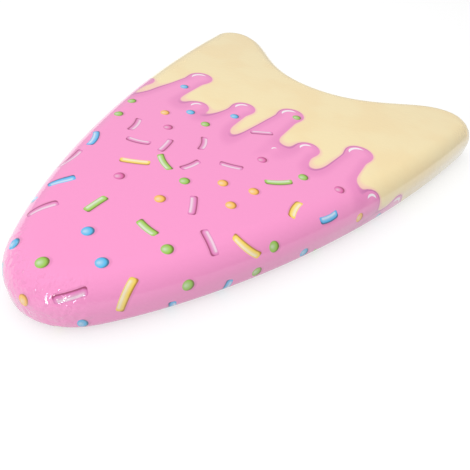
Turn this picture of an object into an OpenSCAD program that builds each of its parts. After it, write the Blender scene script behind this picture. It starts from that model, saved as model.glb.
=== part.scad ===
// Small children's bodyboard: a flat foam board with a rounded nose, two rounded tail
// tips and a hollow tail. Printed plastic film and a thin foam skin are laminated over
// the deck and the rails of an expanded polystyrene core and turned in under the board,
// where a foam skin and a smooth slick sheet close it.
// +X runs to the nose, +Y to the rider's left and +Z up; the board lies on z = 0.

/* [Board] */
// Length from the nose to the tail tips
board_l = 420; // [380:5:560]
// Greatest width, measured across the tail tips
board_w = 320; // [280:5:420]
// Thickness, slick sheet included
board_t = 35; // [30:1:50]

/* [Nose] */
// Half the width of the ellipse that rounds the nose
nose_half_w = 50; // [40:1:65]
// Length of that ellipse, from its centre to the nose
nose_len = 62; // [50:1:80]
// How far the nose is followed round the ellipse before the side begins, in degrees
nose_sweep = 46; // [38:1:55]

/* [Sides and tail] */
// Radius of each tail tip, seen from above
tip_r = 32; // [26:1:42]
// How far each side toes in where it meets the tail tip, in degrees
toe_in = 8; // [3:1:15]
// How straight each side leaves the nose, as a share of its length
side_nose_pull = 0.1; // [0.05:0.01:0.3]
// How straight each side reaches the tail tip, as a share of its length
side_tail_pull = 0.58; // [0.4:0.01:0.65]
// Depth of the hollow between the tail tips
notch_depth = 66; // [30:1:90]
// How square the hollow leaves each tip, as a share of its half span
notch_tip_pull = 0.31; // [0.2:0.01:0.4]
// How flat the hollow is at its middle, as a share of its half span
notch_mid_pull = 0.43; // [0.3:0.01:0.55]

/* [Rail] */
// Radius from the rail up onto the deck
edge_r = 20; // [14:1:24]
// Radius from the rail down under the board
chine_r = 8; // [5:1:12]
// Width of the hem that the deck's layers make under the board
hem_w = 12; // [8:1:16]

/* [Layers] */
// Thickness of the printed deck film
film_t = 0.25; // [0.15:0.05:0.5]
// Thickness of the foam skin under that film
deck_skin_t = 2; // [1:0.25:3]
// Thickness of the hot-melt film that bonds the skins to the core
glue_t = 0.2; // [0.1:0.05:0.4]
// Thickness of the slick sheet
slick_t = 0.6; // [0.4:0.1:1.2]
// Width of the sealing bead round the slick sheet
seal_w = 2; // [1:0.25:4]
// How far the bead stays above the face of the slick sheet
seal_recess = 0.1; // [0.05:0.05:0.3]

/* [Hidden] */

// Segments in each stretch of the half outline, and round the two rail radii
nose_n = 6;
side_n = 10;
tip_n = 6;
tail_n = 18;
edge_n = 5;
chine_n = 3;

// Depths of the layers below the outer face of the board
skin_depth = film_t;
glue_depth = film_t + deck_skin_t;
core_depth = film_t + deck_skin_t + glue_t;

// ---- outline: a list of [point, heading] from the nose round the left side ----

function unit(v) = v / norm(v);

function bezier(p, t) =
    p[0] * pow(1 - t, 3) + p[1] * 3 * t * pow(1 - t, 2)
    + p[2] * 3 * t * t * (1 - t) + p[3] * pow(t, 3);

function bezier_heading(p, t) = unit(
    (p[1] - p[0]) * pow(1 - t, 2) + (p[2] - p[1]) * 2 * t * (1 - t)
    + (p[3] - p[2]) * t * t
);

// A smooth curve from one [point, heading] to another, both ends left out
function blend(from, to, pull_from, pull_to, n) =
    let (
        span = norm(to[0] - from[0]),
        p = [
            from[0], from[0] + from[1] * span * pull_from,
            to[0] - to[1] * span * pull_to, to[0]
        ]
    )
    [for (i = [1 : n - 1]) [bezier(p, i / n), bezier_heading(p, i / n)]];

function nose_station(a) = [
    [board_l / 2 - nose_len + nose_len * cos(a), nose_half_w * sin(a)],
    unit([-nose_len * sin(a), nose_half_w * cos(a)])
];

function tip_station(a) = [
    [-board_l / 2 + tip_r + tip_r * cos(a), board_w / 2 - tip_r + tip_r * sin(a)],
    [-sin(a), cos(a)]
];

nose_end = nose_station(nose_sweep);
tip_start = tip_station(90 - toe_in);
tip_end = tip_station(180);
notch_mid = [[-board_l / 2 + notch_depth, 0], [0, -1]];

half_outline = concat(
    [for (i = [0 : nose_n]) nose_station(nose_sweep * i / nose_n)],
    blend(nose_end, tip_start, side_nose_pull, side_tail_pull, side_n),
    [tip_start],
    [for (i = [0 : tip_n]) tip_station(90 + 90 * i / tip_n)],
    blend(tip_end, notch_mid, notch_tip_pull, notch_mid_pull, tail_n),
    [notch_mid]
);

function mirrored(s) = [[s[0].x, -s[0].y], [-s[1].x, s[1].y]];

outline = concat(
    half_outline,
    [for (i = [len(half_outline) - 2 : -1 : 1]) mirrored(half_outline[i])]
);
outline_n = len(outline);

// The outline drawn in by a distance, square to its own heading
function inset(d) = [for (s = outline) s[0] + [-s[1].y, s[1].x] * d];

function ring(d, z) = [for (p = inset(d)) [p.x, p.y, z]];

// ---- rail: rings from under the board, round the rail, up to the deck ----

function wrap_rings(depth) = concat(
    [for (i = [0 : chine_n])
        let (a = 90 * i / chine_n)
        ring(
            chine_r - (chine_r - depth) * sin(a),
            slick_t + chine_r - (chine_r - depth) * cos(a)
        )],
    [for (i = [0 : edge_n])
        let (a = 90 * i / edge_n)
        ring(
            edge_r - (edge_r - depth) * cos(a),
            board_t - edge_r + (edge_r - depth) * sin(a)
        )]
);

function hem_ring(depth) = ring(chine_r + hem_w, slick_t + depth);

function joined(rings) = [for (r = rings) each r];

// Two triangles for each step along the outline, between ring k and the ring above it
function band(k, first = 0) = [
    for (i = [0 : outline_n - 1])
        let (
            a = first + k * outline_n + i,
            b = first + k * outline_n + (i + 1) % outline_n
        )
        each [[a, a + outline_n, b], [b, a + outline_n, b + outline_n]]
];

function flipped(faces) = [for (f = faces) [f[0], f[2], f[1]]];

// A cap over one whole ring, seen from above or from below
function cap_up(k) = [for (i = [outline_n - 1 : -1 : 0]) k * outline_n + i];
function cap_down(k) = [for (i = [0 : outline_n - 1]) k * outline_n + i];

// A layer of the deck: over the deck, down the rails and in under the board as a hem
module wrapped_layer(outer_depth, inner_depth) {
    outer = concat([hem_ring(outer_depth)], wrap_rings(outer_depth));
    inner = concat([hem_ring(inner_depth)], wrap_rings(inner_depth));
    n = len(outer);
    hem_edge = [
        for (i = [0 : outline_n - 1])
            let (j = (i + 1) % outline_n)
            each [
                [i, j, n * outline_n + i],
                [j, n * outline_n + j, n * outline_n + i]
            ]
    ];
    polyhedron(
        points = joined(concat(outer, inner)),
        faces = concat(
            [for (k = [0 : n - 2]) each band(k)],
            [for (k = [0 : n - 2]) each flipped(band(k, n * outline_n))],
            [cap_up(n - 1)],
            [cap_down(2 * n - 1)],
            hem_edge
        ),
        convexity = 4
    );
}

// A flat sheet that follows the outline, drawn in by a distance
module flat_sheet(d, z, t) {
    translate([0, 0, z]) linear_extrude(t) polygon(inset(d));
}

// ---- pieces, from the core outwards ----

// Moulded expanded polystyrene blank
module foam_core() {
    rings = wrap_rings(core_depth);
    n = len(rings);
    color("white")
        polyhedron(
            points = joined(rings),
            faces = concat(
                [for (k = [0 : n - 2]) each band(k)],
                [cap_up(n - 1)],
                [cap_down(0)]
            ),
            convexity = 4
        );
}

// Hot-melt film between the core and the deck skin
module deck_glue_film() {
    color("lightyellow") wrapped_layer(glue_depth, core_depth);
}

// Cross-linked polyethylene foam skin over the deck and the rails
module deck_foam_skin() {
    color("ivory") wrapped_layer(skin_depth, glue_depth);
}

// Glossy printed film, the outside of the deck and the rails
module deck_print_film() {
    color([1, 0.65, 0.85]) wrapped_layer(0, skin_depth);
}

// Hot-melt film between the core and the bottom skin, butted to the deck's hem
module bottom_glue_film() {
    color("lightyellow") flat_sheet(chine_r + hem_w, slick_t + glue_depth, glue_t);
}

// Foam skin of the bottom, which fills the space inside the hem
module bottom_foam_skin() {
    color("ivory") flat_sheet(chine_r + hem_w, slick_t, glue_depth);
}

// Smooth polyethylene sheet that covers the hem and slides on the water
module slick_sheet() {
    color("gainsboro") flat_sheet(chine_r + seal_w, 0, slick_t);
}

// Bead of hot-melt that seals the edge of the slick sheet to the hem
module edge_seal() {
    color("silver")
        translate([0, 0, seal_recess])
            linear_extrude(slick_t - seal_recess)
                difference() {
                    polygon(inset(chine_r));
                    polygon(inset(chine_r + seal_w));
                }
}

foam_core();
deck_glue_film();
deck_foam_skin();
deck_print_film();
bottom_glue_film();
bottom_foam_skin();
slick_sheet();
edge_seal();
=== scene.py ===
# A small children's bodyboard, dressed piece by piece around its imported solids.
# Everything is in metres in the part's own frame: +X to the nose, +Y to the left, +Z up.
import math

import bpy
import numpy as np
from mathutils import Matrix, Vector, noise
from mathutils.geometry import delaunay_2d_cdt


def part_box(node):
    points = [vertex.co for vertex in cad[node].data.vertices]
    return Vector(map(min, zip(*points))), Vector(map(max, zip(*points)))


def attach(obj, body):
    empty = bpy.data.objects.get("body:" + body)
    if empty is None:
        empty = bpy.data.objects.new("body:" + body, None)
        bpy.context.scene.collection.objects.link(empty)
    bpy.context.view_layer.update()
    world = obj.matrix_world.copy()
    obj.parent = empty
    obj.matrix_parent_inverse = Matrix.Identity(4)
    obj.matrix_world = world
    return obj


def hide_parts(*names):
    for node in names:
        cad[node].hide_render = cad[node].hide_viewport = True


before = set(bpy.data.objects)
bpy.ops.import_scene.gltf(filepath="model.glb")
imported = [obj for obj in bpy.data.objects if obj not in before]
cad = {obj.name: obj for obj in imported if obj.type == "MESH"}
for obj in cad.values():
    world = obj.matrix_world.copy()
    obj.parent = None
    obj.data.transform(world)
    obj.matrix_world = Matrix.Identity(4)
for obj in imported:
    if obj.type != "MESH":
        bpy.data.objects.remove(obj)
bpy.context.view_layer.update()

MM = 0.001


# ---- Camera and studio --------------------------------------------------------------
# A pale floor under a large soft lamp, with a small bright lamp low before the nose that
# the glossy film mirrors in its crinkled rounding. The camera stands close over the nose.

def srgb(code):
    """The linear colour, with alpha, of a six-digit sRGB hex code."""
    parts = [int(code[i:i + 2], 16) / 255 for i in (0, 2, 4)]
    return [p / 12.92 if p <= 0.04045 else ((p + 0.055) / 1.055) ** 2.4 for p in parts] + [1]


def add(tree, kind, inputs=None, **settings):
    """Adds a node. inputs gives its sockets, by name or number, a value, a socket or a node,
    whose first output in use is taken."""
    made = tree.nodes.new(kind)
    for name, value in settings.items():
        setattr(made, name, value)
    for key, value in (inputs or {}).items():
        used = [s for s in made.inputs if s.enabled and s.name == key]
        target = made.inputs[key] if isinstance(key, int) else used[0]
        if isinstance(value, bpy.types.Node):
            value = next(s for s in value.outputs if s.enabled)
        if isinstance(value, bpy.types.NodeSocket):
            tree.links.new(value, target)
        else:
            target.default_value = value
    return made


def new_material(name):
    """An empty node material and its tree."""
    material = bpy.data.materials.new(name)
    material.use_nodes = True
    material.node_tree.nodes.clear()
    return material, material.node_tree


VIEW_AZIMUTH = 27.9        # degrees, from +X towards +Y
VIEW_ELEVATION = 43.4
VIEW_ROLL = 9.9
VIEW_DISTANCE = 0.3095
VIEW_TARGET = Vector((0.0718, 0.0507, 0))
VIEW_ANGLE = 58.35         # degrees across the square picture

azimuth, elevation = math.radians(VIEW_AZIMUTH), math.radians(VIEW_ELEVATION)
towards_camera = Vector((
    math.cos(elevation) * math.cos(azimuth),
    math.cos(elevation) * math.sin(azimuth),
    math.sin(elevation),
))
camera = bpy.data.objects.new("camera", bpy.data.cameras.new("camera"))
camera.data.angle = math.radians(VIEW_ANGLE)
camera.data.clip_start = 0.01
level = towards_camera.to_track_quat("Z", "Y").to_matrix().to_4x4()
camera.matrix_world = (
    Matrix.Translation(VIEW_TARGET + towards_camera * VIEW_DISTANCE)
    @ level @ Matrix.Rotation(math.radians(VIEW_ROLL), 4, "Z")
)
bpy.context.scene.collection.objects.link(camera)
bpy.context.scene.camera = camera
bpy.context.scene.view_settings.view_transform = "Standard"

FLOOR_SIZE = 12
FLOOR_GREY = "B2B2B2"
FLOOR_LIFT = 0.60          # what the camera and the gloss see of the floor beyond its own light

floor_mesh = bpy.data.meshes.new("floor")
half_floor = FLOOR_SIZE / 2
floor_mesh.from_pydata(
    [(-half_floor, -half_floor, 0), (half_floor, -half_floor, 0),
     (half_floor, half_floor, 0), (-half_floor, half_floor, 0)],
    [], [(0, 1, 2, 3)])
floor = bpy.data.objects.new("floor", floor_mesh)
bpy.context.scene.collection.objects.link(floor)

# Matt studio paper: even and pale, it keeps the board's soft shadow.
paper, tree = new_material("matt_studio_paper")
rays = add(tree, "ShaderNodeLightPath")
seen = add(tree, "ShaderNodeMath", {0: rays.outputs["Is Camera Ray"],
                                    1: rays.outputs["Is Glossy Ray"]}, operation="ADD")
seen = add(tree, "ShaderNodeMath", {0: seen,
                                    1: rays.outputs["Is Transmission Ray"]},
           operation="ADD", use_clamp=True)
glow = add(tree, "ShaderNodeMath", {0: seen, 1: FLOOR_LIFT}, operation="MULTIPLY")
paper_sum = add(tree, "ShaderNodeAddShader", {
    0: add(tree, "ShaderNodeBsdfDiffuse", {"Color": srgb(FLOOR_GREY)}),
    1: add(tree, "ShaderNodeEmission", {"Strength": glow}),
})
add(tree, "ShaderNodeOutputMaterial", {"Surface": paper_sum})
floor_mesh.materials.append(paper)

SKY_LIGHT = 0.50           # even light from all round
KEY_POWER = 19.0           # watts of the large soft lamp, which the gloss doesn't mirror
KEY_SIZE = 2.6
KEY_PLACE = Vector((0.05, -0.35, 1.5))
GLINT_POWER = 2.3          # watts of the small lamp that the film mirrors
GLINT_SIZE = 0.24
GLINT_PLACE = Vector((1.01, 0.28, 0.30))
LAMP_TARGET = Vector((0.05, 0, 0))

world = bpy.data.worlds.new("studio")
world.use_nodes = True
tree = world.node_tree
tree.nodes.clear()
rays = add(tree, "ShaderNodeLightPath")
seen = add(tree, "ShaderNodeMath", {0: rays.outputs["Is Camera Ray"],
                                    1: rays.outputs["Is Transmission Ray"]},
           operation="ADD", use_clamp=True)
sky = add(tree, "ShaderNodeMix", {"Factor": seen, "A": SKY_LIGHT, "B": 1.0},
          data_type="FLOAT")
background = add(tree, "ShaderNodeBackground", {"Color": srgb("FFFFFF"),
                                                "Strength": sky})
add(tree, "ShaderNodeOutputWorld", {"Surface": background})
bpy.context.scene.world = world

for name, place, size, power in (("key_lamp", KEY_PLACE, KEY_SIZE, KEY_POWER),
                                 ("glint_lamp", GLINT_PLACE, GLINT_SIZE, GLINT_POWER)):
    lamp = bpy.data.objects.new(name, bpy.data.lights.new(name, "AREA"))
    lamp.data.shape = "DISK"
    lamp.data.size = size
    lamp.data.energy = power
    lamp.location = place
    lamp.rotation_euler = (place - LAMP_TARGET).to_track_quat("Z", "Y").to_euler()
    lamp.visible_glossy = name == "glint_lamp"
    bpy.context.scene.collection.objects.link(lamp)


# ---- Foam core ----------------------------------------------------------------------
# The blank is moulded from expanded polystyrene: white beads 3 to 4 mm across, pressed
# flat against the mould and fused, with fine dark seams between them.

BEAD = 3.6 * MM
SEAM_SHARE = 0.09                # of a bead's width
SEAM_DEPTH = 0.15 * MM
SEAM_GREY = "CFCFCB"
BEAD_WHITES = "F1F1EE", "FBFBF9"

# Moulded polystyrene foam: matt white, each bead a slightly other white within its seam
eps, tree = new_material("expanded_polystyrene")
place = add(tree, "ShaderNodeTexCoord")
beads = add(tree, "ShaderNodeTexVoronoi", {"Vector": place.outputs["Object"],
                                           "Scale": 1 / BEAD}, feature="DISTANCE_TO_EDGE")
tone = add(tree, "ShaderNodeTexVoronoi", {"Vector": place.outputs["Object"],
                                          "Scale": 1 / BEAD})
seam = add(tree, "ShaderNodeMapRange", {"Value": beads.outputs["Distance"],
                                         "From Max": SEAM_SHARE})
bead_white = add(tree, "ShaderNodeMix", {
    "Factor": tone.outputs["Color"], "A": srgb(BEAD_WHITES[0]), "B": srgb(BEAD_WHITES[1])},
    data_type="RGBA")
white = add(tree, "ShaderNodeMix", {"Factor": seam, "A": srgb(SEAM_GREY),
                                    "B": bead_white}, data_type="RGBA")
pressed = add(tree, "ShaderNodeBump", {"Height": seam, "Strength": 0.6,
                                       "Distance": SEAM_DEPTH})
shader = add(tree, "ShaderNodeBsdfPrincipled", {
    "Base Color": white, "Roughness": 0.8, "IOR": 1.4, "Normal": pressed})
add(tree, "ShaderNodeOutputMaterial", {"Surface": shader})
cad["foam_core"].data.materials.clear()
cad["foam_core"].data.materials.append(eps)


# ---- Hot-melt films and foam skins --------------------------------------------------
# Between core and skins lies a thin film of hot-melt, milky and slightly tacky. The skins
# are cross-linked polyethylene foam, cut from rolls: matt, with closed cells under 1 mm.

MELT_RIPPLE = 6 * MM
MELT_DEPTH = 0.1 * MM
MELT_TINTS = "E9E1C4", "F3EEDC"
CELL = 0.7 * MM
CELL_DEPTH = 0.05 * MM
FOAM_TINTS = "F4F0E6", "E2DDD0"

# Hot-melt rolled on as a film: milky amber, half glossy, faintly rippled
hot_melt, tree = new_material("hot_melt_film")
place = add(tree, "ShaderNodeTexCoord")
ripple = add(tree, "ShaderNodeTexNoise", {"Vector": place.outputs["Object"],
                                          "Scale": 1 / MELT_RIPPLE, "Detail": 3})
amber = add(tree, "ShaderNodeMix", {"Factor": ripple, "A": srgb(MELT_TINTS[0]),
                                    "B": srgb(MELT_TINTS[1])}, data_type="RGBA")
gloss = add(tree, "ShaderNodeMapRange", {"Value": ripple, "To Min": 0.3, "To Max": 0.5})
waves = add(tree, "ShaderNodeBump", {"Height": ripple, "Distance": MELT_DEPTH})
shader = add(tree, "ShaderNodeBsdfPrincipled", {
    "Base Color": amber, "Roughness": gloss, "IOR": 1.48, "Normal": waves})
add(tree, "ShaderNodeOutputMaterial", {"Surface": shader})

# Foamed polyethylene: matt ivory, with a pinprick hollow at each closed cell
pe_foam, tree = new_material("cross_linked_polyethylene_foam")
place = add(tree, "ShaderNodeTexCoord")
cells = add(tree, "ShaderNodeTexVoronoi", {"Vector": place.outputs["Object"],
                                           "Scale": 1 / CELL})
ivory = add(tree, "ShaderNodeMix", {"Factor": cells, "A": srgb(FOAM_TINTS[0]),
                                    "B": srgb(FOAM_TINTS[1])}, data_type="RGBA")
pores = add(tree, "ShaderNodeBump", {"Height": cells, "Distance": CELL_DEPTH}, invert=True)
shader = add(tree, "ShaderNodeBsdfPrincipled", {
    "Base Color": ivory, "Roughness": 0.7, "IOR": 1.45, "Normal": pores})
add(tree, "ShaderNodeOutputMaterial", {"Surface": shader})

for name, material in (("deck_glue_film", hot_melt), ("bottom_glue_film", hot_melt),
                       ("deck_foam_skin", pe_foam), ("bottom_foam_skin", pe_foam)):
    cad[name].data.materials.clear()
    cad[name].data.materials.append(material)


# ---- Printed film -------------------------------------------------------------------
# One sheet of glossy plastic film, printed on its underside, is drawn hot over the deck,
# round the rails and in under the board. On the flat it takes the faint pattern of the
# foam's beads; where it has to shrink, at the nose and the tail tips, it crinkles.

film_low, film_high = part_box("deck_print_film")
skin_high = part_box("deck_foam_skin")[1]
seal_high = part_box("edge_seal")[1]
hem_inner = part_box("bottom_foam_skin")[1]

LENGTH = film_high.x - film_low.x
WIDTH = film_high.y - film_low.y
DECK_Z = film_high.z
FILM = film_high.z - skin_high.z
HEM_Z = film_low.z
CHINE_R = film_high.x - seal_high.x
HEM_W = seal_high.x - hem_inner.x
EDGE_R = 20 * MM                 # the rounding from the deck into the rail

# The outline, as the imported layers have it: an ellipse at the nose, a curve down each side,
# an arc round each tail tip and a curve through the hollow tail
NOSE_HALF_W = 50 * MM
NOSE_LEN = 62 * MM
NOSE_SWEEP = math.radians(46)
TIP_R = 32 * MM
TOE_IN = math.radians(8)
SIDE_PULLS = (0.10, 0.58)        # each curve's handles, as shares of its span
NOTCH_DEPTH = 66 * MM
NOTCH_PULLS = (0.31, 0.43)

# Steps along the half outline, finest where the film crinkles
NOSE_STEPS = 54
SIDE_STEPS = 140
TIP_STEPS = 48
NOTCH_STEPS = 72


def unit(rows):
    return rows / np.linalg.norm(rows, axis=-1, keepdims=True)


def arc_run(centre, radius_x, radius_y, start, end, steps):
    """Points and headings along part of an ellipse, its last point left out."""
    a = np.linspace(start, end, steps, endpoint=False)
    points = np.stack([centre[0] + radius_x * np.cos(a), centre[1] + radius_y * np.sin(a)], 1)
    return points, unit(np.stack([-radius_x * np.sin(a), radius_y * np.cos(a)], 1))


def curve_run(start, end, pulls, steps):
    """Points and headings along a Bezier curve from one (point, heading) to another."""
    p0, p3 = np.array(start[0]), np.array(end[0])
    span = np.linalg.norm(p3 - p0)
    p1 = p0 + np.array(start[1]) * span * pulls[0]
    p2 = p3 - np.array(end[1]) * span * pulls[1]
    t = np.linspace(0, 1, steps, endpoint=False)[:, None]
    points = (p0 * (1 - t) ** 3 + p1 * 3 * t * (1 - t) ** 2
              + p2 * 3 * t * t * (1 - t) + p3 * t ** 3)
    return points, unit((p1 - p0) * (1 - t) ** 2 + (p2 - p1) * 2 * t * (1 - t)
                        + (p3 - p2) * t * t)


nose_centre = (LENGTH / 2 - NOSE_LEN, 0)
tip_centre = (-LENGTH / 2 + TIP_R, WIDTH / 2 - TIP_R)
nose_run = arc_run(nose_centre, NOSE_LEN, NOSE_HALF_W, 0, NOSE_SWEEP, NOSE_STEPS)
nose_end = arc_run(nose_centre, NOSE_LEN, NOSE_HALF_W, NOSE_SWEEP, NOSE_SWEEP + 1, 1)
tip_run = arc_run(tip_centre, TIP_R, TIP_R, math.pi / 2 - TOE_IN, math.pi, TIP_STEPS)
side_run = curve_run((nose_end[0][0], nose_end[1][0]), (tip_run[0][0], tip_run[1][0]),
                     SIDE_PULLS, SIDE_STEPS)
notch_run = curve_run(((-LENGTH / 2, tip_centre[1]), (0, -1)),
                      ((-LENGTH / 2 + NOTCH_DEPTH, 0), (0, -1)), NOTCH_PULLS, NOTCH_STEPS)
left = [np.concatenate(parts) for parts in zip(nose_run, side_run, tip_run, notch_run)]
middle = np.array([[-LENGTH / 2 + NOTCH_DEPTH, 0]]), np.array([[0, -1.0]])
right = [left[0][:0:-1] * (1, -1), left[1][:0:-1] * (-1, 1)]
edge = np.concatenate([left[0], middle[0], right[0]])
heading = np.concatenate([left[1], middle[1], right[1]])
outward = np.stack([heading[:, 1], -heading[:, 0]], 1)
AROUND = len(edge)

# The film's section: (how far in from the edge, height, tilt of its face from upright, and
# how far along the film from the flat deck), from the deck down to the hem's cut edge
ROUND_STEPS, WALL_STEPS, CHINE_STEPS, HEM_STEPS = 24, 4, 10, 5
round_arc = EDGE_R * math.pi / 2
wall_len = DECK_Z - EDGE_R - HEM_Z - CHINE_R
chine_arc = CHINE_R * math.pi / 2
section = []
for i in range(ROUND_STEPS + 1):
    a = math.pi / 2 * i / ROUND_STEPS
    section.append((EDGE_R * (1 - math.sin(a)), DECK_Z - EDGE_R * (1 - math.cos(a)),
                    a, EDGE_R * a))
for i in range(1, WALL_STEPS):
    d = wall_len * i / WALL_STEPS
    section.append((0, DECK_Z - EDGE_R - d, math.pi / 2, round_arc + d))
for i in range(CHINE_STEPS + 1):
    a = math.pi / 2 * i / CHINE_STEPS
    section.append((CHINE_R * (1 - math.cos(a)), HEM_Z + CHINE_R * (1 - math.sin(a)),
                    math.pi / 2 + a, round_arc + wall_len + CHINE_R * a))
for i in range(1, HEM_STEPS + 1):
    d = HEM_W * i / HEM_STEPS
    section.append((CHINE_R + d, HEM_Z, math.pi, round_arc + wall_len + chine_arc + d))
section = np.array(section)


def sweep(section, depth):
    """Points of the section swept round the board, drawn in by a depth, and their normals."""
    inset, height, tilt = (section[:, k, None, None] for k in range(3))
    flat = edge - outward * inset
    normal = np.concatenate([outward * np.sin(tilt), np.broadcast_to(
        np.cos(tilt), (len(section), AROUND, 1))], 2)
    points = np.concatenate([flat, np.broadcast_to(height, (len(section), AROUND, 1))], 2)
    return points - normal * depth, normal


rail, rail_normal = sweep(section, 0)
deck_edge = edge - outward * EDGE_R
unrolled = deck_edge + outward * section[:, 3, None, None]   # the film laid out flat

# The flat of the deck: a triangle grid inside the deck's edge
GRID = 1.9 * MM
row = np.arange(-LENGTH / 2, LENGTH / 2, GRID)
rows = np.arange(-WIDTH / 2, WIDTH / 2, GRID * math.sqrt(3) / 2)
grid = np.concatenate([np.stack([row + GRID / 2 * (k % 2), np.full(len(row), y)], 1)
                       for k, y in enumerate(rows)])


def inside(points, loop):
    """Whether each point lies in the loop."""
    crossings = np.zeros(len(points), int)
    for a, b in zip(loop, np.roll(loop, -1, 0)):
        level = (a[1] > points[:, 1]) != (b[1] > points[:, 1])
        reach = a[0] + (points[:, 1] - a[1]) * (b[0] - a[0]) / ((b[1] - a[1]) or 1)
        crossings += level & (points[:, 0] < reach)
    return crossings % 2 == 1


CLEARANCE = 0.6 * GRID           # between the grid and the deck's edge
SAME_POINT = 1e-7                # nearer than this, two points are one
grid = grid[inside(grid, deck_edge - outward * CLEARANCE)]
loop_ids = list(range(AROUND))
filled, _, fill_faces, origin, _, _ = delaunay_2d_cdt(
    [Vector(p) for p in np.concatenate([deck_edge, grid])], [], [loop_ids], 1, SAME_POINT)
fill_to_film = {}
deck_points = []
for k, sources in enumerate(origin):
    if sources and sources[0] < AROUND:
        fill_to_film[k] = sources[0]
    else:
        fill_to_film[k] = len(section) * AROUND + len(deck_points)
        deck_points.append(filled[k])
deck_points = np.array(deck_points)

# Crinkles: where the outline turns outwards the flat film had too much length to lie down,
# so it gathers in small creases across the edge and in a fine crackle over the rounding.
# Every dent goes inwards and stays within the film's own thickness.
SWELL_LENGTH, SWELL_DEPTH = 24 * MM, 0.05 * MM
CREASE_LENGTH, CREASE_DEPTH = 4.2 * MM, 0.11 * MM
CRACKLE_LENGTH, CRACKLE_DEPTH = 4.6 * MM, 0.08 * MM
CREASE_STRETCH = 4               # how much longer a crease runs across the edge than along it
CREASE_RADIUS = 40 * MM          # an outline this tight is fully crinkled
CRINKLE_START = 3 * MM           # how far over the rounding the crinkles begin
CRINKLE_FADE = 5 * MM
EVENING_PASSES = 30              # how far the crinkled stretches fade into the plain ones

step = np.linalg.norm(np.roll(edge, -1, 0) - edge, axis=1)
from_nose = np.cumsum(step) - step
from_nose = np.where(np.arange(AROUND) > AROUND // 2, from_nose - step.sum(), from_nose)
following = np.roll(heading, -1, 0)
bend = (heading[:, 0] * following[:, 1] - heading[:, 1] * following[:, 0]) / step
tightness = np.clip(bend * CREASE_RADIUS, 0, 1)
for _ in range(EVENING_PASSES):
    tightness = (np.roll(tightness, 1) + 2 * tightness + np.roll(tightness, -1)) / 4


def rough(point, length, offset=0):
    """Smooth noise from 0 to 1 with that wavelength; another offset gives another one."""
    return 0.5 + 0.5 * noise.noise(Vector(point) / length + Vector((0, 0, offset)))


def dent(place, along, gather):
    """How deep the film dips at a point, by its place on the outline and along the section."""
    depth = SWELL_DEPTH * rough((*place, along), SWELL_LENGTH)
    if gather > 0.01:
        crease = 1 - abs(2 * rough((*place, along / CREASE_STRETCH), CREASE_LENGTH, 7) - 1)
        crackle = 1 - abs(2 * rough((*place, along), CRACKLE_LENGTH, 31) - 1)
        depth += gather * (CREASE_DEPTH * crease ** 3 + CRACKLE_DEPTH * crackle ** 2)
    return depth


gather = np.clip((section[:, 3, None] - CRINKLE_START) / CRINKLE_FADE, 0, 1) * tightness
rail_dent = np.array([[dent(place, row[3], share) for place, share in zip(edge, shares)]
                      for row, shares in zip(section, gather)])
deck_dent = np.array([SWELL_DEPTH * rough((*p, 0), SWELL_LENGTH) for p in deck_points])

# The sheet: outer face, then a plainer inner face, joined along the cut edge of the hem
INNER_ROWS = [*range(0, ROUND_STEPS, 2), *range(ROUND_STEPS, len(section) - HEM_STEPS, 2),
              len(section) - 1]
inner, _ = sweep(section[INNER_ROWS], FILM)
outer_points = (rail - rail_normal * rail_dent[:, :, None]).reshape(-1, 3)
flat_points = np.column_stack([deck_points, DECK_Z - deck_dent])
film_points = np.concatenate([outer_points, flat_points, inner.reshape(-1, 3)])
film_flat = np.zeros((len(film_points), 3))
film_flat[:len(outer_points), :2] = unrolled.reshape(-1, 2)
film_flat[len(outer_points):len(outer_points) + len(flat_points), :2] = deck_points
inner_start = len(outer_points) + len(flat_points)
film_flat[inner_start:, :2] = unrolled[INNER_ROWS].reshape(-1, 2)
film_rim = np.zeros((len(film_points), 3))     # along the edge, across it, crinkled share
film_rim[:len(outer_points)] = np.stack([
    np.broadcast_to(from_nose, gather.shape),
    np.broadcast_to(section[:, 3, None], gather.shape), gather], 2).reshape(-1, 3)


def band(row_a, row_b):
    """Faces between two rows of points round the board, row_b lying further down."""
    i = np.arange(AROUND)
    j = (i + 1) % AROUND
    return np.stack([row_a + i, row_b + i, row_b + j, row_a + j], 1).tolist()


faces = []
for k in range(len(section) - 1):
    faces += band(k * AROUND, (k + 1) * AROUND)
faces += [[fill_to_film[v] for v in f] for f in fill_faces]
printed_count = len(faces)
for k in range(len(INNER_ROWS) - 1):
    faces += [f[::-1] for f in band(inner_start + k * AROUND, inner_start + (k + 1) * AROUND)]
faces.append([inner_start + i for i in reversed(range(AROUND))])
last_inner = inner_start + (len(INNER_ROWS) - 1) * AROUND
faces += band((len(section) - 1) * AROUND, last_inner)

film_mesh = bpy.data.meshes.new("printed_film")
film_mesh.from_pydata(film_points.tolist(), [], faces)
film_mesh.validate()
film_mesh.shade_smooth()
printed_film = bpy.data.objects.new("printed_film", film_mesh)
bpy.context.scene.collection.objects.link(printed_film)

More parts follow.
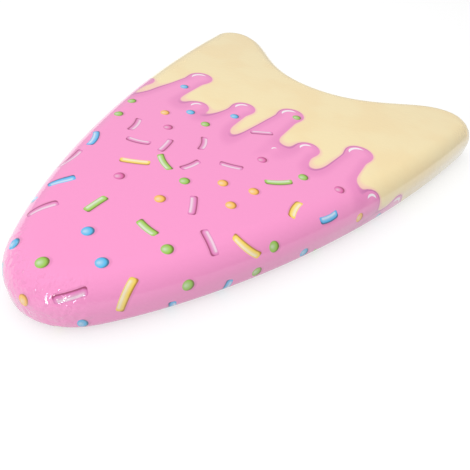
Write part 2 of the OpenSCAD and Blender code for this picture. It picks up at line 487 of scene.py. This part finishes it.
# The print: icing poured over the nose, which runs towards the tail in drips. Each drip is
# (place across, place of its end along, radius of its end), on the film laid out flat.
ICING_EDGE = 14 * MM
DRIPS = [(y * MM, x * MM, r * MM) for y, x, r in (
    (-186, -30, 9), (-152, -58, 11), (-117, -20, 9), (-84, -66, 11.5), (-50, -16, 9),
    (-20, -46, 10.5), (17, -70, 11.5), (36, -4, 6), (55, -28, 9.5), (90, -56, 11.5),
    (124, -12, 9), (151, -44, 10.5), (187, -62, 12))]
NECK = 0.84                      # a drip's width above its end, as a share of the end's
WIDENING = 0.07                  # how fast it widens from there towards the icing
FILLET = 17 * MM                 # how softly drips and icing run together
END_FILLET = 5 * MM              # how softly a drip's end joins its neck
SWAYS = ((9 * MM, 21 * MM, 0.8), (5 * MM, 9.5 * MM, 0))   # height, reach and start of a wave
PRINT_LIGHT = np.array([-0.55, -0.835])   # where the light drawn on the icing comes from


def runs_together(a, b, reach):
    """Two signed distances joined with a soft fillet."""
    overlap = np.maximum(reach - np.abs(a - b), 0)
    return np.minimum(a, b) - overlap ** 2 / (4 * reach)


def icing_distance(flat):
    """Signed distance from the icing's edge, below nought on the icing."""
    x, y = flat[..., 0], flat[..., 1]
    sway = sum(height * np.sin(y / reach + start) for height, reach, start in SWAYS)
    distance = ICING_EDGE + sway - x
    for across, end, radius in DRIPS:
        centre = end + radius
        bulb = np.hypot(x - centre, y - across) - radius
        above = x - centre
        neck = (np.hypot(np.minimum(above, 0), y - across) - NECK * radius
                - WIDENING * np.maximum(above, 0))
        distance = runs_together(distance, runs_together(bulb, neck, END_FILLET), FILLET)
    return distance


PROBE = 0.4 * MM
icing = icing_distance(film_flat[:, :2])
slope_x = icing_distance(film_flat[:, :2] + (PROBE, 0)) - icing
slope_y = icing_distance(film_flat[:, :2] + (0, PROBE)) - icing
icing_lit = (slope_x * PRINT_LIGHT[0] + slope_y * PRINT_LIGHT[1]) / PROBE

corner_point = np.empty(len(film_mesh.loops), int)
film_mesh.loops.foreach_get("vertex_index", corner_point)
corner_count = np.empty(len(film_mesh.polygons), int)
film_mesh.polygons.foreach_get("loop_total", corner_count)
corner_face = np.repeat(np.arange(len(film_mesh.polygons)), corner_count)
corner_flat = film_flat[corner_point, :2]
face_flat = np.stack([np.bincount(corner_face, corner_flat[:, k]) for k in (0, 1)],
                     1) / corner_count[:, None]
drips = np.array(DRIPS)
nearest_drip = np.abs(face_flat[:, 1, None] - drips[:, 0]).argmin(1)[corner_face]
drip = drips[nearest_drip]
from_end = corner_flat - np.stack([drip[:, 1] + drip[:, 2], drip[:, 0]], 1)
lit_side = np.stack([from_end @ PRINT_LIGHT,
                     from_end @ (-PRINT_LIGHT[1], PRINT_LIGHT[0]), drip[:, 2]], 1)

for name, kind, domain, field, values in (
        ("film", "FLOAT_VECTOR", "POINT", "vector", film_flat),
        ("rim", "FLOAT_VECTOR", "POINT", "vector", film_rim),
        ("icing", "FLOAT", "POINT", "value", icing),
        ("icing_lit", "FLOAT", "POINT", "value", icing_lit),
        ("drip_end", "FLOAT_VECTOR", "CORNER", "vector", lit_side),
        ("printed", "BOOLEAN", "FACE", "value",
         np.arange(len(film_mesh.polygons)) < printed_count)):
    layer = film_mesh.attributes.new(name, kind, domain)
    layer.data.foreach_set(field, np.asarray(values, dtype=bool if kind == "BOOLEAN"
                                             else np.float32).ravel())

SHEET = 530 * MM                 # the square that the laid-out film fits in
SHEET_MARGIN = 30 * MM           # room for the rail and hem beyond the board's tail
BACK_SCALE = 0.02                # the unseen back takes a corner of the map
sheet_map = film_mesh.uv_layers.new(name="OFBake")
back = (corner_face >= printed_count)[:, None]
spread = (corner_flat - (-LENGTH / 2 - SHEET_MARGIN, -SHEET / 2)) / SHEET
sheet_map.data.foreach_set("uv", np.where(back, spread * BACK_SCALE, spread).ravel())

# Sprinkles, printed at random on the icing: round dots and slightly bent rods. Points are
# scattered over the film laid out flat, and each face of the film takes its nearest one.
SPRINKLE_SPACING = 19.5 * MM
DOT_R = 3.9 * MM
ROD_R = 2.7 * MM
SPRINKLE_SEED = 11
TRIAL_DENSITY = 6000.0           # per square metre, before the spacing thins them
DOT_MARGIN = -1.5                # an edge of icing nearer than this many radii takes no dot
ROD_MARGIN = -3.6                # and nearer than this no rod
ROD_SHARE = 0.55                 # of the sprinkles with room enough
ROD_HALF = (2.1, 3.1)            # half the length between a rod's end centres, in radii
ROD_BEND = 0.05                  # greatest bow across at one radius along, in radii
SUGAR_LIGHT = (0.75, -0.66)      # where the light drawn on the dots comes from
DOT_TINTS = ["52BDF0", "E868B0", "FFC352", "9ACB4A"]
ROD_TINTS = ["FFDD5A", "55BBF5", "A2D04E", "EA7FC0"]

scatter = bpy.data.node_groups.new("sprinkles", "GeometryNodeTree")
sizes = {}
for name, kind, value in (("Film", "NodeSocketGeometry", None),
                          ("Spacing", "NodeSocketFloat", SPRINKLE_SPACING),
                          ("Dot radius", "NodeSocketFloat", DOT_R),
                          ("Rod radius", "NodeSocketFloat", ROD_R),
                          ("Seed", "NodeSocketInt", SPRINKLE_SEED),
                          ("Material", "NodeSocketMaterial", None)):
    item = scatter.interface.new_socket(name, in_out="INPUT", socket_type=kind)
    sizes[item.identifier] = value
scatter.interface.new_socket("Film", in_out="OUTPUT", socket_type="NodeSocketGeometry")
given = add(scatter, "NodeGroupInput").outputs

flat_film = add(scatter, "GeometryNodeInputNamedAttribute", {"Name": "film"},
                data_type="FLOAT_VECTOR")
edge_gap = add(scatter, "GeometryNodeInputNamedAttribute", {"Name": "icing"},
               data_type="FLOAT")
is_printed = add(scatter, "GeometryNodeInputNamedAttribute", {"Name": "printed"},
                 data_type="BOOLEAN")
face_side = add(scatter, "GeometryNodeSeparateGeometry",
                {"Geometry": given["Film"], "Selection": is_printed}, domain="FACE")
laid_out = add(scatter, "GeometryNodeSetPosition",
               {"Geometry": face_side, "Position": flat_film})
dot_room = add(scatter, "ShaderNodeMath", {0: given["Dot radius"], 1: DOT_MARGIN},
               operation="MULTIPLY")
on_icing = add(scatter, "FunctionNodeCompare", {"A": edge_gap, "B": dot_room},
               data_type="FLOAT", operation="LESS_THAN")
spots = add(scatter, "GeometryNodeDistributePointsOnFaces",
            {"Mesh": laid_out, "Distance Min": given["Spacing"], "Density Max": TRIAL_DENSITY,
             "Seed": given["Seed"]}, distribute_method="POISSON")
off_icing = add(scatter, "FunctionNodeBooleanMath", {0: on_icing}, operation="NOT")
kept = add(scatter, "GeometryNodeDeleteGeometry",
           {"Geometry": spots, "Selection": off_icing}, domain="POINT")

# What each sprinkle is like, by its own random numbers
rod_room = add(scatter, "ShaderNodeMath", {0: given["Rod radius"], 1: ROD_MARGIN},
               operation="MULTIPLY")
has_room = add(scatter, "FunctionNodeCompare", {"A": edge_gap, "B": rod_room},
               data_type="FLOAT", operation="LESS_THAN")
chance = add(scatter, "FunctionNodeRandomValue", {"Probability": ROD_SHARE, "Seed": 3},
             data_type="BOOLEAN")
is_rod = add(scatter, "FunctionNodeBooleanMath", {0: has_room, 1: chance}, operation="AND")
rod_turn = add(scatter, "FunctionNodeRandomValue", {"Min": 0.0, "Max": math.tau, "Seed": 5},
               data_type="FLOAT")
dot_turn = math.atan2(SUGAR_LIGHT[1], SUGAR_LIGHT[0]) + math.pi / 2
turn = add(scatter, "GeometryNodeSwitch", {"Switch": is_rod, "False": dot_turn,
                                           "True": rod_turn}, input_type="FLOAT")
rod_half = add(scatter, "FunctionNodeRandomValue",
               {"Min": ROD_HALF[0], "Max": ROD_HALF[1], "Seed": 7}, data_type="FLOAT")
half = add(scatter, "GeometryNodeSwitch", {"Switch": is_rod, "False": 0.0,
                                           "True": rod_half}, input_type="FLOAT")
radius = add(scatter, "GeometryNodeSwitch", {"Switch": is_rod, "False": given["Dot radius"],
                                             "True": given["Rod radius"]}, input_type="FLOAT")
rod_bend = add(scatter, "FunctionNodeRandomValue",
               {"Min": -ROD_BEND, "Max": ROD_BEND, "Seed": 9}, data_type="FLOAT")
pick = add(scatter, "FunctionNodeRandomValue",
           {"Min": 0, "Max": len(DOT_TINTS) - 1, "Seed": 13}, data_type="INT")
rod_pick = add(scatter, "ShaderNodeMath", {0: pick, 1: len(DOT_TINTS)}, operation="ADD")
tint = add(scatter, "GeometryNodeSwitch", {"Switch": is_rod, "False": pick,
                                           "True": rod_pick}, input_type="FLOAT")

# Each sprinkle keeps what it is like, and becomes three points along its middle, so that a
# long rod has all the film beside it
marked = kept
traits = (("centre", add(scatter, "GeometryNodeInputPosition"), "FLOAT_VECTOR"),
          ("turn", turn, "FLOAT"), ("half", half, "FLOAT"), ("girth", radius, "FLOAT"),
          ("bend", rod_bend, "FLOAT"), ("tint", tint, "FLOAT"))
for name, value, kind in traits:
    marked = add(scatter, "GeometryNodeStoreNamedAttribute",
                 {"Geometry": marked, "Name": name, "Value": value},
                 data_type=kind, domain="POINT")
own = {}
for name, _, kind in traits:
    own[name] = add(scatter, "GeometryNodeInputNamedAttribute", {"Name": name},
                    data_type=kind)
middle_line = add(scatter, "GeometryNodeMeshLine", {
    "Count": 3, "Start Location": (-1, 0, 0), "Offset": (1, 0, 0)})
rod_reach = add(scatter, "ShaderNodeMath", {0: own["half"], 1: own["girth"]},
                operation="MULTIPLY")
stretch = add(scatter, "ShaderNodeCombineXYZ", {"X": rod_reach, "Y": 1.0, "Z": 1.0})
line_turn = add(scatter, "ShaderNodeCombineXYZ", {"Z": own["turn"]})
lines = add(scatter, "GeometryNodeInstanceOnPoints",
            {"Points": marked, "Instance": middle_line, "Rotation": line_turn,
             "Scale": stretch})
spines = add(scatter, "GeometryNodeRealizeInstances", {"Geometry": lines})

# Each face's nearest sprinkle, and the film's place seen from that sprinkle
face_place = add(scatter, "GeometryNodeFieldOnDomain", {"Value": flat_film},
                 domain="FACE", data_type="FLOAT_VECTOR")
nearest = add(scatter, "GeometryNodeSampleNearest",
              {"Geometry": spines, "Sample Position": face_place}, domain="POINT")
one_each = add(scatter, "GeometryNodeFieldOnDomain", {"Value": nearest},
               domain="FACE", data_type="INT")
for name, _, kind in traits:
    own[name] = add(scatter, "GeometryNodeSampleIndex",
                    {"Geometry": spines, "Value": own[name], "Index": one_each},
                    data_type=kind, domain="POINT")
from_centre = add(scatter, "ShaderNodeVectorMath", {0: flat_film, 1: own["centre"]},
                  operation="SUBTRACT")
size_one = add(scatter, "ShaderNodeMath", {0: 1.0, 1: own["girth"]}, operation="DIVIDE")
in_radii = add(scatter, "ShaderNodeVectorMath", {0: from_centre, "Scale": size_one},
               operation="SCALE")
straight = add(scatter, "ShaderNodeVectorRotate", {"Vector": in_radii, "Angle": own["turn"]},
               rotation_type="Z_AXIS", invert=True)
parts = add(scatter, "ShaderNodeSeparateXYZ", {0: straight}).outputs
squared = add(scatter, "ShaderNodeMath", {0: parts["X"], 1: parts["X"]},
              operation="MULTIPLY")
bowed = add(scatter, "ShaderNodeMath", {0: squared, 1: own["bend"], 2: parts["Y"]},
            operation="MULTIPLY_ADD")
local = add(scatter, "ShaderNodeCombineXYZ", {"X": parts["X"], "Y": bowed, "Z": own["half"]})
with_place = add(scatter, "GeometryNodeStoreNamedAttribute",
                 {"Geometry": given["Film"], "Name": "sprinkle", "Value": local},
                 data_type="FLOAT_VECTOR", domain="CORNER")
with_tint = add(scatter, "GeometryNodeStoreNamedAttribute",
                {"Geometry": with_place, "Name": "tint", "Value": own["tint"]},
                data_type="FLOAT", domain="FACE")
painted = add(scatter, "GeometryNodeSetMaterial",
              {"Geometry": with_tint, "Material": given["Material"]})
whole = add(scatter, "GeometryNodeRealizeInstances", {"Geometry": painted})
add(scatter, "NodeGroupOutput", {"Film": whole})


# The film itself: printed polypropylene, laminated and glossy. The ink lies under the
# surface, so colour comes from the print and gloss and dents from the clear face.
INKS = {"cream": "FFEBB8", "deep cream": "FEE6B1", "halo": "FFCDC0",
        "icing": "FF9CD2", "deep pink": "F38FC8", "line": "CE74AE", "arc": "FFF6FB",
        "cast": "A8507E", "glow": "FFFFFF", "stripe": "FFFFFF"}
SUGAR_SHADE = "A0606A"
SHADE_SHARE = 0.8                # how far a sprinkle darkens at its shaded rim
CLOUD = 45 * MM                  # the length of the print's faint unevenness
ARC_DEPTH = 3.4 * MM             # how far a drip's white arc lies inside its edge
ARC_HALF_WIDTH = 0.11            # at the arc's middle, as a share of the end's radius
ARC_FACING = (0.35, 0.95)        # how squarely its start and its middle face the light
END_SQUARE = 0.45                # how square a rod ends: 0 is round, 1 is cut straight
DOT_STRIPE, ROD_STRIPE = 0.15, 0.42     # how white a sprinkle's bright line is
BEAD_PRINT, BEAD_DEPTH = 3.4 * MM, 0.05 * MM   # the core's beads, felt through the skin
FINE_CREASE = (5 * MM, 5.5 * MM)        # a fine crease's lengths along the edge and across
FINE_CREASE_DEPTH = 0.8 * MM
GRAIN, GRAIN_DEPTH = 0.5 * MM, 0.004 * MM

film_plastic, tree = new_material("printed_polypropylene_film")
places = {name: add(tree, "ShaderNodeAttribute", attribute_name=name)
          for name in ("film", "icing", "icing_lit", "drip_end", "sprinkle", "tint", "rim")}
flat_place = places["film"].outputs["Vector"]
edge_gap = places["icing"].outputs["Fac"]
cloud = add(tree, "ShaderNodeTexNoise", {"Vector": flat_place, "Scale": 1 / CLOUD,
                                         "Detail": 2.0})

# A place by the nearest drip's end: how far out it is, and how squarely it faces the light
end_place = places["drip_end"].outputs["Vector"]
end_parts = add(tree, "ShaderNodeSeparateXYZ", {0: end_place}).outputs
end_flat = add(tree, "ShaderNodeVectorMath", {0: end_place, 1: (1, 1, 0)},
               operation="MULTIPLY")
out = add(tree, "ShaderNodeVectorMath", {0: end_flat}, operation="LENGTH").outputs["Value"]
facing = add(tree, "ShaderNodeMath", {0: end_parts["X"], 1: out}, operation="DIVIDE")
arc_radius = add(tree, "ShaderNodeMath", {0: end_parts["Z"], 1: ARC_DEPTH},
                 operation="SUBTRACT")
off_arc = add(tree, "ShaderNodeMath", {0: out, 1: arc_radius}, operation="SUBTRACT")
off_arc = add(tree, "ShaderNodeMath", {0: off_arc}, operation="ABSOLUTE")
arc_taper = add(tree, "ShaderNodeMapRange", {
    "Value": facing, "From Min": ARC_FACING[0], "From Max": ARC_FACING[1],
    "To Max": ARC_HALF_WIDTH},
    interpolation_type="SMOOTHSTEP")
arc_width = add(tree, "ShaderNodeMath", {0: arc_taper, 1: end_parts["Z"]},
                operation="MULTIPLY")
arc_gap = add(tree, "ShaderNodeMath", {0: off_arc, 1: arc_width}, operation="SUBTRACT")

# A place by the nearest sprinkle: in its radii along and across it, and half its length
parts = add(tree, "ShaderNodeSeparateXYZ", {0: places["sprinkle"].outputs["Vector"]}).outputs
along = add(tree, "ShaderNodeMath", {0: parts["X"]}, operation="ABSOLUTE")
beyond_u = add(tree, "ShaderNodeMath", {0: along, 1: parts["Z"]}, operation="SUBTRACT")
past = add(tree, "ShaderNodeMath", {0: beyond_u, 1: 0.0}, operation="MAXIMUM")


def from_middle(shift):
    """Distance from the sprinkle's middle line, in radii, the line moved across by a shift."""
    across = add(tree, "ShaderNodeMath", {0: parts["Y"], 1: shift}, operation="SUBTRACT")
    flat = add(tree, "ShaderNodeCombineXYZ", {"X": past, "Y": across})
    return add(tree, "ShaderNodeVectorMath", {0: flat}, operation="LENGTH").outputs["Value"]


# Distance outside the sprinkle's own outline, whose corners a rod rounds less
is_long = add(tree, "ShaderNodeMath", {0: parts["Z"], 1: 0.5}, operation="GREATER_THAN")
square = add(tree, "ShaderNodeMath", {0: is_long, 1: END_SQUARE}, operation="MULTIPLY")
corner = add(tree, "ShaderNodeMath", {0: 1.0, 1: square}, operation="SUBTRACT")
beyond_u = add(tree, "ShaderNodeMath", {0: beyond_u, 1: square}, operation="SUBTRACT")
beyond_v = add(tree, "ShaderNodeMath", {0: parts["Y"]}, operation="ABSOLUTE")
beyond_v = add(tree, "ShaderNodeMath", {0: beyond_v, 1: square}, operation="SUBTRACT")
beyond = add(tree, "ShaderNodeCombineXYZ", {"X": beyond_u, "Y": beyond_v})
beyond = add(tree, "ShaderNodeVectorMath", {0: beyond, 1: (0, 0, 0)}, operation="MAXIMUM")
beyond = add(tree, "ShaderNodeVectorMath", {0: beyond}, operation="LENGTH").outputs["Value"]
outside = add(tree, "ShaderNodeMath", {0: beyond, 1: corner}, operation="SUBTRACT")

# Shares of the colours: each fades from none at one distance to its most at another
shares = {}
for name, value, none_at, most_at, most in (
        ("deep cream", cloud, 0.4, 0.65, 1.0),
        ("halo", edge_gap, 2.4 * MM, 0.3 * MM, 0.8),
        ("deep pink", edge_gap, -9 * MM, -1 * MM, 1.0),
        ("line", edge_gap, -1.5 * MM, -0.7 * MM, 0.85),
        ("line lit", places["icing_lit"].outputs["Fac"], -0.35, 0.55, 1.0),
        ("arc", arc_gap, 0.15 * MM, -0.25 * MM, 1.0),
        ("arc lit", facing, 0.38, 0.5, 1.0),
        ("cast", from_middle(0.3), 1.3, 0.85, 0.22),
        ("glow", from_middle(-0.32), 0.9, 0.0, 0.32),
        ("rim", from_middle(-0.34), 0.8, 1.2, 1.0),
        ("stripe", from_middle(-0.5), 0.4, 0.1, 1.0),
        ("sugar", outside, 0.04, -0.06, 1.0),
        ("cream", edge_gap, -0.25 * MM, 0.25 * MM, 1.0)):
    shares[name] = add(tree, "ShaderNodeMapRange", {
        "Value": value, "From Min": none_at, "From Max": most_at, "To Max": most},
        interpolation_type="SMOOTHSTEP")
shares["stripe by kind"] = add(tree, "ShaderNodeMapRange", {
    "Value": is_long, "To Min": DOT_STRIPE, "To Max": ROD_STRIPE})
for name, other in (("line", "line lit"), ("arc", "arc lit"), ("stripe", "stripe by kind")):
    shares[name] = add(tree, "ShaderNodeMath", {0: shares[name], 1: shares[other]},
                       operation="MULTIPLY")

tints = DOT_TINTS + ROD_TINTS
tint_place = add(tree, "ShaderNodeMath", {
    0: places["tint"].outputs["Fac"], 1: 1 / len(tints), 2: 0.5 / len(tints)},
    operation="MULTIPLY_ADD")
tint = add(tree, "ShaderNodeValToRGB", {0: tint_place})
tint.color_ramp.interpolation = "CONSTANT"
while len(tint.color_ramp.elements) < len(tints):
    tint.color_ramp.elements.new(1.0)
for k, (stop, code) in enumerate(zip(tint.color_ramp.elements, tints)):
    stop.position = k / len(tints)
    stop.color = srgb(code)
shaded = add(tree, "ShaderNodeMix", {"Factor": SHADE_SHARE, "A": tint,
                                     "B": srgb(SUGAR_SHADE)},
             data_type="RGBA", blend_type="MULTIPLY")

# The print, ink by ink: each second ink is laid over the first by its own share
paint = {name: srgb(code) for name, code in INKS.items()}
paint["sugar"] = tint
paint["rim"] = shaded
for under, over in (
        ("cream", "deep cream"), ("cream", "halo"), ("icing", "deep pink"), ("icing", "line"),
        ("icing", "arc"), ("icing", "cast"), ("sugar", "glow"), ("sugar", "rim"),
        ("sugar", "stripe"), ("icing", "sugar"), ("icing", "cream")):
    paint[under] = add(tree, "ShaderNodeMix", {
        "Factor": shares[over], "A": paint[under], "B": paint[over]}, data_type="RGBA")

# Relief: the beads of the core, and the film's own fine grain
solid_place = add(tree, "ShaderNodeTexCoord").outputs["Object"]
beads = add(tree, "ShaderNodeTexVoronoi", {"Vector": solid_place, "Scale": 1 / BEAD_PRINT},
            feature="SMOOTH_F1")
grain = add(tree, "ShaderNodeTexNoise", {"Vector": solid_place, "Scale": 1 / GRAIN,
                                         "Detail": 2.0})
felt = add(tree, "ShaderNodeBump", {"Height": beads.outputs["Distance"],
                                    "Distance": BEAD_DEPTH}, invert=True)

# Creases too fine for the mesh: they run over the edge, between small crackled facets
rim_place = places["rim"].outputs["Vector"]
gathered = add(tree, "ShaderNodeSeparateXYZ", {0: rim_place}).outputs["Z"]
crease_place = add(tree, "ShaderNodeVectorMath", {
    0: rim_place, 1: (1 / FINE_CREASE[0], 1 / FINE_CREASE[1], 0)}, operation="MULTIPLY")
creases = add(tree, "ShaderNodeTexNoise", {"Vector": crease_place, "Scale": 1.0,
                                           "Detail": 1.0, "Distortion": 0.8})
facets = add(tree, "ShaderNodeTexVoronoi", {"Vector": crease_place, "Scale": 0.9},
             feature="DISTANCE_TO_EDGE")
crinkle = add(tree, "ShaderNodeMath", {0: creases, 1: facets.outputs["Distance"]},
              operation="ADD")
crinkle = add(tree, "ShaderNodeMath", {0: crinkle, 1: gathered}, operation="MULTIPLY")
crinkled = add(tree, "ShaderNodeBump", {"Height": crinkle, "Distance": FINE_CREASE_DEPTH,
                                        "Normal": felt})
fine = add(tree, "ShaderNodeBump", {"Height": grain, "Distance": GRAIN_DEPTH,
                                    "Normal": crinkled})
gloss = add(tree, "ShaderNodeMapRange", {"Value": cloud, "To Min": 0.08, "To Max": 0.14})
shader = add(tree, "ShaderNodeBsdfPrincipled", {
    "Base Color": paint["icing"], "Roughness": gloss, "IOR": 1.49, "Normal": fine,
    "Coat Weight": 0.7, "Coat Roughness": 0.04, "Coat IOR": 1.5, "Coat Normal": crinkled})
add(tree, "ShaderNodeOutputMaterial", {"Surface": shader})

modifier = printed_film.modifiers.new("sprinkles", "NODES")
modifier.node_group = scatter
for key, value in sizes.items():
    if value is not None:
        modifier[key] = value
material_key = next(i.identifier for i in scatter.interface.items_tree if i.name == "Material")
modifier[material_key] = film_plastic
made = bpy.data.meshes.new_from_object(
    printed_film.evaluated_get(bpy.context.evaluated_depsgraph_get()))
printed_film.modifiers.remove(modifier)
printed_film.data = made
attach(printed_film, "root")
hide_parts("deck_print_film")


# ---- Slick sheet and its sealing bead -----------------------------------------------
# The underside is a sheet of smooth white polyethylene, laid over the hem of the film. A
# bead of hot-melt closes its edge.

PEEL, PEEL_DEPTH = 2.5 * MM, 0.03 * MM
SCUFF = 30 * MM
SHEET_WHITES = "F4F4F2", "E9EAEA"
BEAD_FLOW, FLOW_DEPTH = 5 * MM, 0.15 * MM
BEAD_GREYS = "B9A9B2", "CFC3C9"

# Extruded polyethylene: satin white with a faint orange peel, duller where it is scuffed
slick, tree = new_material("smooth_polyethylene_sheet")
place = add(tree, "ShaderNodeTexCoord")
orange_peel = add(tree, "ShaderNodeTexNoise", {"Vector": place.outputs["Object"],
                                               "Scale": 1 / PEEL, "Detail": 2.0})
scuff = add(tree, "ShaderNodeTexNoise", {"Vector": place.outputs["Object"],
                                         "Scale": 1 / SCUFF, "Detail": 4.0})
white = add(tree, "ShaderNodeMix", {"Factor": scuff, "A": srgb(SHEET_WHITES[0]),
                                    "B": srgb(SHEET_WHITES[1])}, data_type="RGBA")
peel = add(tree, "ShaderNodeBump", {"Height": orange_peel, "Distance": PEEL_DEPTH})
dull = add(tree, "ShaderNodeMapRange", {"Value": scuff, "To Min": 0.22, "To Max": 0.42})
shader = add(tree, "ShaderNodeBsdfPrincipled", {
    "Base Color": white, "Roughness": dull, "IOR": 1.51, "Normal": peel})
add(tree, "ShaderNodeOutputMaterial", {"Surface": shader})
cad["slick_sheet"].data.materials.clear()
cad["slick_sheet"].data.materials.append(slick)

# Hot-melt squeezed into the seam and cooled: waxy grey, lumpy along its length
bead_melt, tree = new_material("hot_melt_bead")
place = add(tree, "ShaderNodeTexCoord")
flow = add(tree, "ShaderNodeTexNoise", {"Vector": place.outputs["Object"],
                                        "Scale": 1 / BEAD_FLOW, "Detail": 2.0})
grey = add(tree, "ShaderNodeMix", {"Factor": flow, "A": srgb(BEAD_GREYS[0]),
                                   "B": srgb(BEAD_GREYS[1])}, data_type="RGBA")
uneven = add(tree, "ShaderNodeBump", {"Height": flow, "Distance": FLOW_DEPTH})
shader = add(tree, "ShaderNodeBsdfPrincipled", {
    "Base Color": grey, "Roughness": 0.35, "IOR": 1.48, "Normal": uneven})
add(tree, "ShaderNodeOutputMaterial", {"Surface": shader})
cad["edge_seal"].data.materials.clear()
cad["edge_seal"].data.materials.append(bead_melt)
